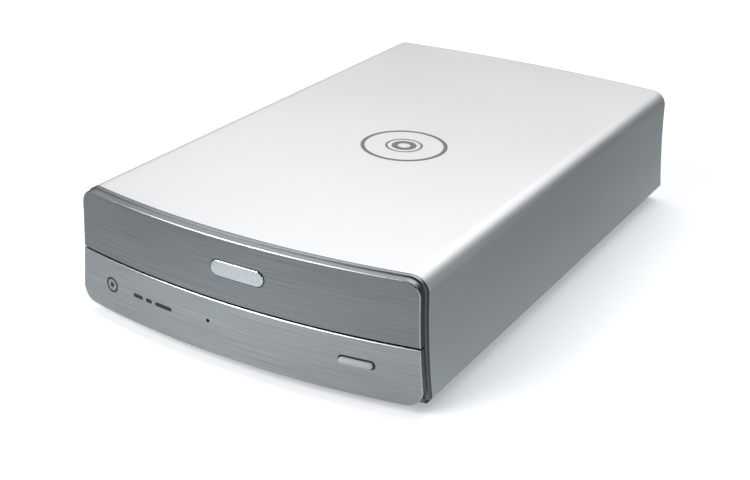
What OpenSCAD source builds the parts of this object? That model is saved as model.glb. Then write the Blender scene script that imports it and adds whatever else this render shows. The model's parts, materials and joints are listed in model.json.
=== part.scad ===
// Desktop optical drive: a half-height tray drive in its own case.
// Millimetres. +Z is up, the tray opens towards -Y, X runs across the front.
// The origin is the centre of the footprint, on the surface that the feet stand on.

/* [Case] */
// Width of the case at its flared bottom edge
body_w = 165; // [164:0.5:167]
// Width of the case across its top
top_w = 157.5; // [157:0.5:159]
// Length from the badge on the front to the middle of the rear edge
body_l = 273; // [272:1:280]
// Height from the surface to the top
body_h = 56; // [56:0.5:58]
// Wall thickness of the sleeve-shaped cover
wall = 2; // [1.8:0.1:2.2]
// Radius of the long top edges
edge_r = 7; // [6:0.5:9]
// How far the middle of the front stands ahead of its corners
front_bow = 9.8; // [9:0.2:10]
// How far the middle of the rear edge stands behind its corners
rear_bow = 6; // [5:0.5:7]
// Height of the rubber feet
foot_h = 3; // [2.5:0.5:3]

/* [Front] */
// Height of the joint between the tray's front and the fixed lower front
split_z = 28.8; // [28.6:0.1:29]
// Width of the dark joint between the two fronts
split_gap = 0.8; // [0.6:0.1:1]
// Thickness of each front: moulded carrier and metal face plate together
panel_t = 3.5; // [3.2:0.1:3.6]
// Thickness of the metal face plates
plate_t = 0.8; // [0.6:0.1:1]
// Place of the eject button across the front
button_x = 55; // [53:1:58]
// Length of the eject button
button_l = 13.5; // [12:0.5:18]
// Height of the eject button
button_h = 2.4; // [2:0.2:5]
// Travel of the eject button
button_travel = 0.6; // [0.4:0.1:0.8]
// Place of the emergency eject hole across the front
pinhole_x = -9.5; // [-12:0.5:-8]

/* [Tray] */
// Height of the tray's underside
tray_z = 31.5; // [31.4:0.1:31.6]
// Radius of the recess for a 120 mm disc
disc_recess_r = 60.6; // [60.5:0.1:60.8]
// Travel of the tray
tray_travel = 140; // [120:5:140]

/* [Gears] */
// Module of the loading gears and the rack
gear_module = 1; // [1:1:1]
// Teeth of the pinion that drives the rack
pinion_teeth = 24; // [24:1:24]
// Teeth of the small gear on the belt pulley
pulley_teeth = 12; // [12:1:12]

/* [Hidden] */
$fn = 64;
// Fineness of the large bowed faces, and steps along the outline's and the belt's curves
arc_fn = 720;
side_steps = 10;
corner_steps = 10;
belt_steps = 24;

// --- Case ---
// Radius and centre height of the hollow curve of the sides
flare_z = body_h + 2;
flare_r = (flare_z - foot_h) ^ 2 / (body_w - top_w);
badge_t = 0.5;
front_y = -body_l / 2;
cover_front_y = front_y + badge_t + panel_t;
rear_y = body_l / 2;
front_r = ((body_w / 2) ^ 2 + front_bow ^ 2) / (2 * front_bow);
rear_r = ((body_w / 2) ^ 2 + rear_bow ^ 2) / (2 * rear_bow);
front_cy = cover_front_y + front_r;
rear_cy = rear_y - rear_r;
cover_edge_z = foot_h + 3.5;
// Height of the lower front's bottom edge
panel_low_z = foot_h + 1.5;
ceiling_z = body_h - wall;
floor_t = 2;
floor_z = foot_h + floor_t;
// Gap between a front's outline and the cover's
face_gap = 0.6;
// Depth behind the cover's front edge of the parts that close its mouth
mouth_d = 2.8;
// Gap between the cover's front edge and the fronts
lip_gap = 0.4;
plate_back = panel_t - plate_t;
panel_corner_r = 6.5;
button_gap = 0.5;
mouth_inset = wall + 0.2;
// How far the base pan's edge stands in from the case's outline, out of sight from above
pan_inset = wall + 1;

// --- Screws ---
screw_r = 1.5;
thin_screw_r = 1.4;
screw_hole_r = 1.6;
head_r = 2.8;
head_t = 1.8;
recess_r = 3.1;
cover_boss = [66, 112];
cover_boss_r = 4.5;
bezel_tab_x = [-60, 10];
bezel_screw_y = -121;
foot_xy = [[-62, -98], [62, -98], [-62, 100], [62, 100]];
foot_r = 7;

// --- Drive inside the case ---
drive_z = 9;
drive_h = 41.3;
drive_w = 146;
drive_front = -117;
drive_rear = 52;
sheet = 0.8;
drive_hole_x = 69.85;
drive_hole_y = [-69.6, 9.65];
frame_out = 71.8;
frame_in = 67.7;
frame_low = drive_z + sheet + 0.4;
frame_top = 47;
disc_y = -58;
bridge_half = 18;
tray_t = 6;
tray_w = 134.8;
tray_rear = 45;
recess_z = tray_z + 2.5;
small_recess_r = 40.5;
tray_hole_r = 19;

// --- Loading gears ---
pressure_angle = 20;
addendum = 0.8 * gear_module;
dedendum = 1.15 * gear_module;
backlash = 0.16;
pinion_r = gear_module * pinion_teeth / 2;
small_r = gear_module * pulley_teeth / 2;
gear_y = -100;
pinion_x = -38;
rack_x = pinion_x - pinion_r;
pulley_x = pinion_x + pinion_r + small_r;
motor_x = pulley_x + 40;
deck_z = 22.2;
deck_t = 2;
pin_r = 1.5;
run_gap = 0.05;
belt_t = 1.2;
pulley_groove_r = 12;
motor_groove_r = 2.8;
pulley_z = deck_z + deck_t + 0.4;
belt_z = pulley_z + 0.8;
gear_z = 27.8;
gear_top = 31.1;
rack_z = 29.4;

// --- Tilting traverse, drawn level, then lowered about its rear pivot ---
pivot = [0, 38, 21];
tilt = 4.6;
deck_low = 20;
deck_high = 22.5;
cam_x = 25;
cam_pin_z = 24;
cam_pin_y = -83.2;
cam_pin_r = 1.8;
cam_travel = 24;
rod_x = 32;
rod_z = 26;
screw_x = 41;
lens_y = -35;
pickup_travel = 35;
spindle_shaft_r = 1.2;
platter_z = 35.5;

// --- Boards, sockets and switch at the rear ---
panel_y = 126.5;
panel_out = 129;
board_z = 9;
board_t = 1.6;
board_top = board_z + board_t;
usb_x = -8;
jack_x = 21;
jack_z = 16.5;
rocker_x = 45;
rocker_z = 26.5;
rocker_y = 126;
rocker_tilt = 8;

// Half width of the case at height z, with its skin moved in by inset
function side_x(z, inset) =
    top_w / 2 + flare_r - sqrt((flare_r + inset) ^ 2 - (flare_z - z) ^ 2);

// Right half of the case's outline in X and Z: hollow side, then rounded top corner
function outline_points(inset, low) =
    let (cz = body_h - edge_r, r = edge_r - inset, cx = side_x(cz, inset) - r)
    concat([for (k = [0:side_steps - 1]) let (z = low + (cz - low) * k / side_steps)
            [side_x(z, inset), z]],
        [for (k = [0:corner_steps]) let (a = 90 * k / corner_steps)
            [cx + r * cos(a), cz + r * sin(a)]]);

// Front outline of the case, moved in by inset, from height low
module body_outline(inset, low) {
    right = outline_points(inset, low);
    last = len(right) - 1;
    polygon(concat(right, [for (k = [0:last]) [-right[last - k].x, right[last - k].y]]));
}

// That outline drawn out from y0 to y1
module body_prism(inset, low, y0, y1) {
    translate([0, y1, 0]) rotate([90, 0, 0]) linear_extrude(y1 - y0)
        body_outline(inset, low);
}

// Everything behind the bowed front, moved forward by out
module behind_front(out) {
    translate([0, front_cy, -1]) cylinder(r = front_r + out, h = 60, $fn = arc_fn);
}

// Everything ahead of the bowed rear, moved in by inset
module ahead_of_rear(inset) {
    translate([0, rear_cy, -1]) cylinder(r = rear_r - inset, h = 60, $fn = arc_fn);
}

// A layer that follows the bowed front, cut to its 2-D children in X and Z
module front_layer(inner, outer) {
    difference() {
        intersection() {
            translate([0, -105, 0]) rotate([90, 0, 0]) linear_extrude(40) children();
            behind_front(outer);
        }
        behind_front(inner);
    }
}

// Outline of a front between two heights
module face_outline(inset, low, high) {
    intersection() {
        body_outline(inset, low);
        translate([-body_w / 2, low - 1]) square([body_w, high - low + 1]);
    }
}

// The lower front's outline, with rounded bottom corners
module lower_outline() {
    r = panel_corner_r;
    difference() {
        face_outline(face_gap, panel_low_z, split_z - split_gap / 2);
        for (s = [-1, 1])
            translate([s * (side_x(panel_low_z + r, face_gap) - r), panel_low_z + r]) difference() {
                translate([s > 0 ? 0 : -20, -20]) square(20);
                circle(r = r);
            }
    }
}

// A bar with round ends, l long and h high, centred
module pill(l, h) {
    square([l - h, h], center = true);
    for (s = [-1, 1]) translate([s * (l - h) / 2, 0]) circle(d = h);
}

// A pan-head screw pointing up, its head's underside at the origin
module screw(r, l) {
    translate([0, 0, -head_t]) cylinder(r = head_r, h = head_t);
    cylinder(r = r, h = l);
}

module block(low, high) {
    translate(low) cube(high - low);
}

module tube(r_out, r_in, h) {
    difference() {
        cylinder(r = r_out, h = h);
        translate([0, 0, -1]) cylinder(r = r_in, h = h + 2);
    }
}

// A shaft or bore along Y from y0 to y1
module along_y(x, z, r, y0, y1) {
    translate([x, y1, z]) rotate([90, 0, 0]) cylinder(r = r, h = y1 - y0);
}

// --- Gear teeth ---
function involute(a) = tan(a) * 180 / PI - a;

// Half angle of a tooth at radius r
function half_tooth(teeth, r, base_r) =
    90 / teeth - backlash * 90 / (PI * gear_module * teeth)
    + involute(pressure_angle) - involute(acos(min(1, base_r / r)));

function polar(r, a) = [r * cos(a), r * sin(a)];

module gear_profile(teeth, first_angle) {
    r = gear_module * teeth / 2;
    base_r = r * cos(pressure_angle);
    radii = concat([r - dedendum], [for (k = [0:4])
        base_r + (r + addendum - base_r) * k / 4]);
    polygon([for (i = [0:teeth - 1], side = [-1, 1], k = [0:5])
        let (rk = radii[side < 0 ? k : 5 - k])
        polar(rk, first_angle + i * 360 / teeth
            + side * half_tooth(teeth, max(rk, base_r), base_r))]);
}

// Rack teeth from y0 to y1, in mesh with a pinion tooth that points at gear_y
module rack_profile(y0, y1) {
    pitch = PI * gear_module;
    half = pitch / 4 - backlash / 2;
    slope = tan(pressure_angle);
    first = ceil((y0 - gear_y) / pitch);
    last = floor((y1 - gear_y) / pitch) - 1;
    translate([rack_x - dedendum - 3, y0]) square([3, y1 - y0]);
    for (i = [first:last]) translate([rack_x, gear_y + (i + 0.5) * pitch])
        polygon([[-dedendum - 0.1, -half - dedendum * slope],
            [addendum, -half + addendum * slope],
            [addendum, half - addendum * slope],
            [-dedendum - 0.1, half + dedendum * slope]]);
}

// Loop round two pulleys on the line y = 0, distance d apart
module belt_outline(r1, r2, d) {
    a = acos((r1 - r2) / d);
    n = belt_steps;
    polygon(concat([for (k = [0:n]) polar(r1, a + (360 - 2 * a) * k / n)],
        [for (k = [0:n]) [d, 0] + polar(r2, -a + 2 * a * k / n)]));
}

// Turns the level traverse down to its rest place
module lowered() {
    translate(pivot) rotate([tilt, 0, 0]) translate(-pivot) children();
}

// --- Case parts ---
module top_cover() {
    color("#e3e5e7") difference() {
        union() {
            difference() {
                intersection() {
                    body_prism(0, cover_edge_z, cover_front_y - 1, rear_y + 1);
                    behind_front(0);
                    ahead_of_rear(0);
                }
                body_prism(wall, 0, cover_front_y - 2, rear_y + 2);
            }
            for (s = [-1, 1]) translate([s * cover_boss.x, cover_boss.y, 20])
                cylinder(r = 4, h = ceiling_z - 20);
            for (y = [66, 84, 102]) block([-70, y, ceiling_z - 3], [70, y + 1.6, ceiling_z]);
        }
        for (s = [-1, 1]) translate([s * cover_boss.x, cover_boss.y, 19])
            cylinder(r = thin_screw_r, h = 16);
    }
}

module base_pan() {
    color("#2b2d30") difference() {
        union() {
            intersection() {
                body_prism(pan_inset, 0, cover_front_y, rear_y);
                behind_front(-mouth_d - 0.2);
                ahead_of_rear(pan_inset);
                block([-90, -140, foot_h], [90, 140, floor_z]);
            }
            intersection() {
                difference() {
                    body_prism(wall + 0.1, 0, -116, 124);
                    body_prism(wall + 1.7, -1, -117, 125);
                }
                block([-90, -120, floor_z - 0.5], [90, 130, 12]);
            }
            for (s = [-1, 1]) {
                for (y = drive_hole_y) translate([s * drive_hole_x, y, floor_z - 1])
                    cylinder(r = 4.2, h = drive_z - floor_z + 1);
                translate([s * cover_boss.x, cover_boss.y, floor_z - 1])
                    cylinder(r = cover_boss_r, h = 20 - floor_z + 1);
                for (y = [66, 120]) translate([s * 40, y, floor_z - 1])
                    cylinder(r = 3, h = board_z - floor_z + 1);
            }
            for (y = [-40, 30]) block([-50, y, floor_z - 1], [50, y + 1.6, drive_z - 1]);
        }
        for (s = [-1, 1]) {
            for (y = drive_hole_y) translate([s * drive_hole_x, y, 0]) screw_way();
            translate([s * cover_boss.x, cover_boss.y, 0]) screw_way();
            for (y = [66, 120]) translate([s * 40, y, floor_z])
                cylinder(r = thin_screw_r, h = 10);
        }
        for (x = bezel_tab_x) translate([x, bezel_screw_y, foot_h + 0.4])
            cylinder(r = thin_screw_r, h = 10);
        for (i = [-4:4]) translate([i * 7 - 1.1, -20, 0]) cube([2.2, 40, 10]);
    }
}

// Hole for a screw driven up from underneath, with room for its head
module screw_way() {
    cylinder(r = screw_hole_r, h = 30);
    cylinder(r = recess_r, h = floor_z + 0.2);
}

module lower_front_bezel() {
    color("#8f9498") difference() {
        union() {
            front_layer(lip_gap, plate_back)
                lower_outline();
            front_layer(-mouth_d, lip_gap)
                face_outline(mouth_inset, floor_z + 0.2, split_z - split_gap / 2);
            intersection() {
                behind_front(0);
                for (x = bezel_tab_x)
                    block([x - 6, -140, floor_z], [x + 6, -117.6, floor_z + 2]);
            }
            for (x = [42, 70]) along_y(x, 12, 2.5, x < 50 ? -127.5 : -124.5, -120.7);
        }
        button_way();
        front_layer(-mouth_d - 2, -0.6) translate([button_x, button_z()])
            pill(button_l + 4.4, button_h + 4.4);
        along_y(pinhole_x, pinhole_z(), 0.8, -150, -110);
        for (x = bezel_tab_x) translate([x, bezel_screw_y, 0])
            cylinder(r = screw_hole_r, h = 12);
        for (x = [42, 70]) along_y(x, 12, 1, -124, -110);
    }
}

// Heights of the button and of the emergency hole, set by the lower front's middle
function button_z() = (foot_h + split_z) / 2 + 2.2;
function pinhole_z() = (foot_h + split_z) / 2 + 2.6;

// Hole for the eject button, with its gap all round
module button_way() {
    translate([button_x, 0, button_z()]) rotate([90, 0, 0]) linear_extrude(150)
        pill(button_l + 2 * button_gap, button_h + 2 * button_gap);
}

module lower_front_plate() {
    color("#9ea3a7") difference() {
        front_layer(plate_back, panel_t) lower_outline();
        button_way();
        along_y(pinhole_x, pinhole_z(), 0.8, -150, -110);
    }
}

module tray_slot_frame() {
    color("#1d1e20") difference() {
        front_layer(-mouth_d, -0.3)
            face_outline(mouth_inset, split_z + 0.2, body_h);
        block([-tray_w / 2 - 0.7, -150, tray_z - 0.6],
            [tray_w / 2 + 0.7, -100, tray_z + tray_t + 0.6]);
        block([rack_x - 6.5, -150, split_z - 1], [rack_x + 2, -100, tray_z]);
    }
}

module rear_panel() {
    color("#2b2d30") difference() {
        intersection() {
            body_prism(wall + 0.1, floor_z, panel_y, panel_out);
            block([-90, panel_y, floor_z], [90, panel_out, 60]);
        }
        block([usb_x - 6.3, 100, board_top - 0.4], [usb_x + 6.3, 140, 23.2]);
        block([jack_x - 5.2, 100, board_top - 0.4], [jack_x + 5.2, 140, 21.8]);
        block([rocker_x - 6.6, 100, rocker_z - 9.6], [rocker_x + 6.6, 140, rocker_z + 9.6]);
        block([-61.5, 100, 15], [-58.5, 140, 22]);
        for (i = [0:8]) translate([-52 + i * 6, 100, 30]) cube([2.4, 40, 16]);
    }
}

module rubber_feet() {
    color("#202022") for (p = foot_xy) translate([p.x, p.y, 0]) rotate_extrude()
        polygon([[0, 0], [foot_r - 0.9, 0], [foot_r, 0.9], [foot_r, foot_h], [0, foot_h]]);
}

module cover_screws() {
    color("silver") for (s = [-1, 1])
        translate([s * cover_boss.x, cover_boss.y, floor_z + 0.2]) screw(thin_screw_r, 26);
}

module bezel_screws() {
    color("silver") for (x = bezel_tab_x)
        translate([x, bezel_screw_y, floor_z + 2]) rotate([180, 0, 0]) screw(thin_screw_r, 3.4);
}

module drive_screws() {
    color("silver") for (s = [-1, 1], y = drive_hole_y)
        translate([s * drive_hole_x, y, floor_z + 0.2]) screw(screw_r, 7.4);
}

// --- Metal cans and frame of the drive ---
module drive_bottom_cover() {
    color("#b9bdc0") difference() {
        block([-drive_w / 2, drive_front, drive_z], [drive_w / 2, drive_rear, 16]);
        block([-drive_w / 2 + sheet, drive_front - 1, drive_z + sheet],
            [drive_w / 2 - sheet, drive_rear - sheet, 20]);
        for (s = [-1, 1], y = drive_hole_y) translate([s * drive_hole_x, y, 0])
            cylinder(r = screw_r, h = 12);
        block([-26, 50, drive_z + sheet + 0.4], [26, 60, 20]);
    }
}

module drive_top_cover() {
    top = drive_z + drive_h;
    color("#b9bdc0") difference() {
        block([-drive_w / 2, drive_front, 16.1], [drive_w / 2, drive_rear, top]);
        block([-drive_w / 2 + sheet, drive_front - 1, 10],
            [drive_w / 2 - sheet, drive_rear - sheet, top - sheet]);
        block([-26, 50, 10], [26, 60, 20]);
        translate([0, disc_y, top - 0.4]) tube(32, 28, 1);
        for (s = [-1, 1], y = [-80, 20]) translate([s * 48, y, top - 0.4])
            tube(9, 7, 1);
    }
}

module loader_frame() {
    color("#3a3c40") difference() {
        union() {
            for (s = [-1, 1]) {
                mirrored(s) {
                    block([frame_in, -116, frame_low], [frame_out, 50, frame_top]);
                    block([62, -115, tray_z - 1.1], [frame_in + 1, 44, tray_z - 0.3]);
                    block([65, -112, tray_z + tray_t + 0.3],
                        [frame_in + 1, 44, tray_z + tray_t + 1.1]);
                    block([54, 34, 17], [frame_in + 1, 42, 25]);
                    block([60, -60, frame_low], [frame_in + 1, -56, 13]);
                }
            }
            block([-frame_in - 1, 46, frame_low], [frame_in + 1, 50, frame_top]);
            block([-frame_in - 1, -116, frame_low], [frame_in + 1, -113.4, 27.2]);
            block([-frame_in - 1, -114, deck_z], [frame_in + 1, -85, deck_z + deck_t]);
            block([-60, -87, frame_low], [60, -84.9, deck_z + 1]);
            block([-60, -85, frame_low], [60, -80, frame_low + 1]);
            for (x = [pulley_x, pinion_x]) translate([x, gear_y, deck_z + 1])
                cylinder(r = pin_r, h = gear_top - deck_z - 1);
            for (x = [pulley_x, pinion_x]) translate([x, gear_y, deck_z + 1])
                cylinder(r = 2.6, h = deck_t - 1 + 0.2);
        }
        for (s = [-1, 1]) mirrored(s) {
            translate([50, pivot.y, pivot.z]) rotate([0, 90, 0])
                cylinder(r = 2 + run_gap, h = 12);
            block([frame_in - 1, disc_y - bridge_half, frame_top - 3.6],
                [80, disc_y + bridge_half, 60]);
            for (y = drive_hole_y) translate([drive_hole_x, y, 5])
                cylinder(r = screw_r, h = 7.7);
        }
        block([-26, 40, 5], [26, 60, 20]);
        translate([motor_x, gear_y, deck_z - 1]) cylinder(r = 3.6, h = 10);
    }
}

module mirrored(s) {
    if (s > 0) children();
    else mirror([1, 0, 0]) children();
}

module clamp_bridge() {
    color("#9a9ea2") difference() {
        union() {
            block([-frame_out, disc_y - bridge_half, 43.4], [frame_out, disc_y + bridge_half, 45.4]);
            for (y = [disc_y - bridge_half, disc_y + bridge_half - 1.2])
                block([-64, y, 45.3], [64, y + 1.2, 47.6]);
        }
        translate([0, disc_y, 40]) cylinder(r = 13, h = 10);
        for (s = [-1, 1]) translate([s * 40, disc_y, 40]) cylinder(r = 7, h = 10);
    }
}

// --- Boards inside the drive ---
module main_board() {
    color("#1f5c3a") block([-60, -2, 11], [60, 45, 12.6]);
}

module main_board_parts() {
    color("#26282b") {
        block([-18, 6, 12.6], [2, 26, 14]);
        block([12, 10, 12.6], [24, 22, 13.8]);
        block([-46, 12, 12.6], [-34, 20, 13.6]);
        block([34, 8, 12.6], [48, 16, 14.2]);
        for (x = [-52, 28, 52]) translate([x, 34, 12.6]) cylinder(r = 2.5, h = 3);
    }
}

module drive_socket() {
    color("#151618") difference() {
        block([-21, 44, 12.6], [21, 51.9, 17.4]);
        block([-19, 47, 13.8], [-5, 53, 16.2]);
        block([-3, 47, 13.8], [19, 53, 16.2]);
    }
}

// --- Loading mechanism ---
module loading_motor() {
    color("#c4c7ca") difference() {
        translate([motor_x, gear_y, 0]) {
            translate([0, 0, frame_low + 0.3]) cylinder(r = 11, h = deck_z - frame_low - 0.3);
            translate([0, 0, deck_z - 0.1]) cylinder(r = 3, h = 1.6);
        }
        translate([motor_x, gear_y, 14]) cylinder(r = 1 + run_gap, h = 20);
    }
}

module motor_shaft() {
    color("silver") translate([motor_x, gear_y, 15]) cylinder(r = 1, h = 12.6);
}

// A grooved belt pulley with its bore
module belt_pulley(groove_r, flange_r, bore_r) {
    difference() {
        union() {
            cylinder(r = groove_r, h = 2.8);
            for (z = [0, 2.2]) translate([0, 0, z]) cylinder(r = flange_r, h = 0.6);
        }
        translate([0, 0, -1]) cylinder(r = bore_r, h = 5);
    }
}

module motor_pulley() {
    color("#e8e6df") translate([motor_x, gear_y, pulley_z])
        belt_pulley(motor_groove_r, motor_groove_r + 1.4, 1);
}

module drive_belt() {
    color("#111111") translate([pulley_x, gear_y, belt_z]) linear_extrude(belt_t)
        difference() {
            belt_outline(pulley_groove_r + 0.06 + belt_t, motor_groove_r + 0.06 + belt_t,
                motor_x - pulley_x);
            belt_outline(pulley_groove_r + 0.06, motor_groove_r + 0.06, motor_x - pulley_x);
        }
}

module pulley_gear() {
    color("#f0efe9") translate([pulley_x, gear_y, 0]) {
        translate([0, 0, pulley_z]) belt_pulley(pulley_groove_r, pulley_groove_r + 1, pin_r + run_gap);
        translate([0, 0, pulley_z + 2.8]) linear_extrude(gear_top - pulley_z - 2.8) difference() {
            gear_profile(pulley_teeth, 180 + 180 / pulley_teeth);
            circle(r = pin_r + run_gap);
        }
    }
}

module tray_pinion() {
    color("#f0efe9") translate([pinion_x, gear_y, 0]) {
        translate([0, 0, gear_z]) linear_extrude(gear_top - gear_z) difference() {
            gear_profile(pinion_teeth, 180);
            circle(r = pin_r + run_gap);
        }
        translate([0, 0, pulley_z]) tube(3, pin_r + run_gap, gear_z - pulley_z);
    }
}

// Height of a cam pin's axis when the traverse is down
cam_low_z = pivot.z + (cam_pin_y - pivot.y) * sin(tilt) + (cam_pin_z - pivot.z) * cos(tilt);

module cam_slider() {
    rise = cam_pin_z - cam_low_z;
    run = norm([cam_travel, rise]);
    angle = atan2(rise, -cam_travel);
    color("#d8d5cb") difference() {
        union() {
            block([-56, -84.2, frame_low + 1.1], [31, -82.2, 27]);
            block([-56, -84.2, frame_low + 1.1], [31, -80.4, frame_low + 2.3]);
        }
        for (x = [-cam_x, cam_x]) translate([x, -82, cam_low_z]) rotate([90, 0, 0])
            linear_extrude(3) rotate(angle) {
                circle(r = cam_pin_r + 0.3);
                translate([0, -cam_pin_r - 0.3]) square([run, 2 * cam_pin_r + 0.6]);
                translate([run, 0]) circle(r = cam_pin_r + 0.3);
            }
    }
}

// --- Tray ---
module disc_tray() {
    color("#2f3134") {
        difference() {
            intersection() {
                block([-tray_w / 2, -150, tray_z], [tray_w / 2, tray_rear, tray_z + tray_t]);
                behind_front(lip_gap);
            }
            translate([0, disc_y, recess_z]) cylinder(r = disc_recess_r, h = 10);
            translate([0, disc_y, recess_z - 1]) cylinder(r = small_recess_r, h = 10);
            translate([0, disc_y, 0]) cylinder(r = tray_hole_r, h = 60);
            block([-tray_hole_r, disc_y, 0], [tray_hole_r, 6, 60]);
            for (s = [-1, 1]) translate([s * 52, 24, tray_z + 1.5]) cylinder(r = 9, h = 10);
        }
        translate([0, 0, rack_z]) linear_extrude(tray_z - rack_z + 0.2)
            rack_profile(-106.5, tray_rear);
    }
}

module tray_front_panel() {
    color("#8f9498") front_layer(lip_gap, plate_back)
        face_outline(face_gap, split_z + split_gap / 2, body_h);
}

module upper_front_plate() {
    color("#8b9094") front_layer(plate_back, panel_t)
        face_outline(face_gap, split_z + split_gap / 2, body_h);
}

module front_badge() {
    color("#f2f2f2") front_layer(panel_t, panel_t + badge_t)
        translate([4.7, (split_z + body_h) / 2 + 0.5]) pill(24, 6.5);
}

// --- Eject button ---
module eject_button() {
    color("#d6d9db") {
        front_layer(-0.9, panel_t + 0.7) translate([button_x, button_z()])
            pill(button_l, button_h);
        front_layer(-1.9, -0.85) translate([button_x, button_z()])
            pill(button_l + 2.6, button_h + 2.6);
        along_y(button_x, button_z(), 1.6, -127, -124.4);
    }
}

module switch_plunger() {
    color("#e9e4d4") along_y(button_x, button_z(), 1.3, -124.4, -122.4);
}

module tact_switch() {
    color("#2a2a2c") difference() {
        block([button_x - 3, -123.2, button_z() - 3], [button_x + 3, -120.7, button_z() + 3]);
        along_y(button_x, button_z(), 1.35, -125, -121.4);
    }
}

module front_board() {
    color("#1f5c3a") difference() {
        block([38, -120.7, 8], [74, -119.5, 26]);
        for (x = [42, 70]) along_y(x, 12, 1.2, -125, -110);
    }
}

module front_board_screws() {
    color("silver") for (x = [42, 70]) {
        along_y(x, 12, 1, -123.8, -119.5);
        along_y(x, 12, 2, -119.5, -118.5);
    }
}

// --- Traverse: everything here is drawn level and lowered ---
module traverse_deck() {
    color("#55585c") lowered() difference() {
        union() {
            block([-52, -78, deck_low], [52, 42, deck_high]);
            for (s = [-1, 1]) {
                mirrored(s) {
                    block([46, 34, deck_low], [52, 42, 25]);
                    for (y = [-52, 36]) block([rod_x - 3, y, deck_low], [rod_x + 3, y + 4, 29]);
                    translate([45, pivot.y, pivot.z]) rotate([0, 90, 0])
                        cylinder(r = 2, h = 16);
                    block([cam_x - 3, -78, deck_low], [cam_x + 3, -74, 26.5]);
                }
                along_y(s * cam_x, cam_pin_z, cam_pin_r, -84.4, -75);
            }
            block([screw_x - 3, -46, deck_low], [screw_x + 3, -42, 29]);
        }
        translate([0, disc_y, 0]) cylinder(r = 13.8, h = 60);
        block([-20, -44, 0], [20, 24, 60]);
        block([screw_x - 5.4, 21, 0], [screw_x + 5.4, 33.6, 24]);
        for (s = [-1, 1]) along_y(s * rod_x, rod_z, pin_r, -60, 60);
        along_y(screw_x, rod_z, thin_screw_r + run_gap, -60, -40);
    }
}

module guide_rods() {
    color("silver") lowered() for (s = [-1, 1]) along_y(s * rod_x, rod_z, pin_r, -52, 40);
}

module spindle_stator() {
    color("#8a6a3a") lowered() translate([0, disc_y, 0]) difference() {
        union() {
            translate([0, 0, 19.2]) cylinder(r = 13.8, h = 1.4);
            translate([0, 0, 19.2]) cylinder(r = 3.2, h = 12.3);
            translate([0, 0, 23]) cylinder(r = 11, h = 6);
        }
        translate([0, 0, 20]) cylinder(r = spindle_shaft_r + run_gap, h = 20);
    }
}

module spindle_rotor() {
    color("silver") lowered() translate([0, disc_y, 0]) {
        difference() {
            translate([0, 0, 21.2]) cylinder(r = 13, h = 11.8);
            translate([0, 0, 20]) cylinder(r = 12, h = 12);
        }
        translate([0, 0, 20.2]) cylinder(r = spindle_shaft_r, h = 15);
    }
}

module turntable() {
    color("#3b3d40") lowered() translate([0, disc_y, 0]) rotate_extrude()
        polygon([[spindle_shaft_r, 33], [14.5, 33], [14.5, platter_z], [7.4, platter_z],
            [7.3, platter_z + 1.2], [5, platter_z + 2.5], [spindle_shaft_r, platter_z + 2.5]]);
}

module sled_motor() {
    color("#c4c7ca") lowered() difference() {
        union() {
            along_y(screw_x, rod_z, 5, 22, 33);
            block([screw_x - 4.6, 33, deck_high], [screw_x + 4.6, 34.2, 29]);
        }
        along_y(screw_x, rod_z, thin_screw_r + run_gap, 20, 32);
    }
}

module lead_screw() {
    color("silver") lowered() translate([screw_x, 31, rod_z]) rotate([90, 0, 0])
        rotate_extrude() polygon(concat([[0, 0], [thin_screw_r, 0], [thin_screw_r, 12]],
            [for (i = [0:17], p = [[thin_screw_r, 13], [1.1, 13.8], [1.1, 14.2], [thin_screw_r, 15]])
                [p.x, p.y + i * 3]],
            [[thin_screw_r, 76], [0, 76]]));
}

module optical_pickup() {
    color("#7d8185") lowered() difference() {
        union() {
            block([-26, lens_y - 7.5, 23.2], [26, lens_y + 22, 30]);
            block([-18, lens_y + 2, 20.6], [18, lens_y + 20, 24]);
            for (s = [-1, 1]) mirrored(s)
                block([25, lens_y - 2, 23.2], [rod_x, lens_y + 18, 27.5]);
            for (s = [-1, 1]) along_y(s * rod_x, rod_z, 2.8, lens_y - 4, lens_y + 20);
            block([rod_x, lens_y + 4, 24.6], [screw_x, lens_y + 10, 27.4]);
            along_y(screw_x, rod_z, 2.8, lens_y + 4, lens_y + 10);
        }
        for (s = [-1, 1]) along_y(s * rod_x, rod_z, pin_r + run_gap, -90, 60);
        along_y(screw_x, rod_z, thin_screw_r + 0.1, -90, 60);
        block([-8.4, lens_y - 6.4, 26], [8.4, lens_y + 6.4, 40]);
        translate([0, disc_y, 0]) cylinder(r = 15.4, h = 60);
    }
}

module lens_holder() {
    color("#202124") lowered() difference() {
        union() {
            block([-7.4, lens_y - 5.2, 27], [7.4, lens_y + 5.2, 31]);
            translate([0, lens_y, 30.9]) cylinder(r = 4, h = 1.7);
        }
        translate([0, lens_y, 26]) cylinder(r = 3, h = 10);
    }
}

module objective_lens() {
    color("#9fc4d8") lowered() translate([0, lens_y, 30.6]) intersection() {
        cylinder(r = 3, h = 3);
        translate([0, 0, -2.6]) sphere(r = 5.2);
    }
}

// --- Disc clamp ---
module clamp_puck() {
    color("#d9d9d6") translate([0, disc_y, 0]) difference() {
        union() {
            translate([0, 0, 38]) cylinder(r = 15, h = 5.2);
            translate([0, 0, 43]) cylinder(r = 12.4, h = 2.6);
        }
        translate([0, 0, 37]) cylinder(r = 7.8, h = 4);
    }
}

module clamp_yoke() {
    color("silver") translate([0, disc_y, 45.6]) tube(15.5, 3, 1.2);
}

// --- Rear boards, sockets, switch and leads ---
module bridge_board() {
    color("#1f5c3a") difference() {
        block([-45, 60, board_z], [45, 126, board_top]);
        for (s = [-1, 1], y = [66, 120]) translate([s * 40, y, 0])
            cylinder(r = screw_hole_r, h = 20);
    }
}

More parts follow.
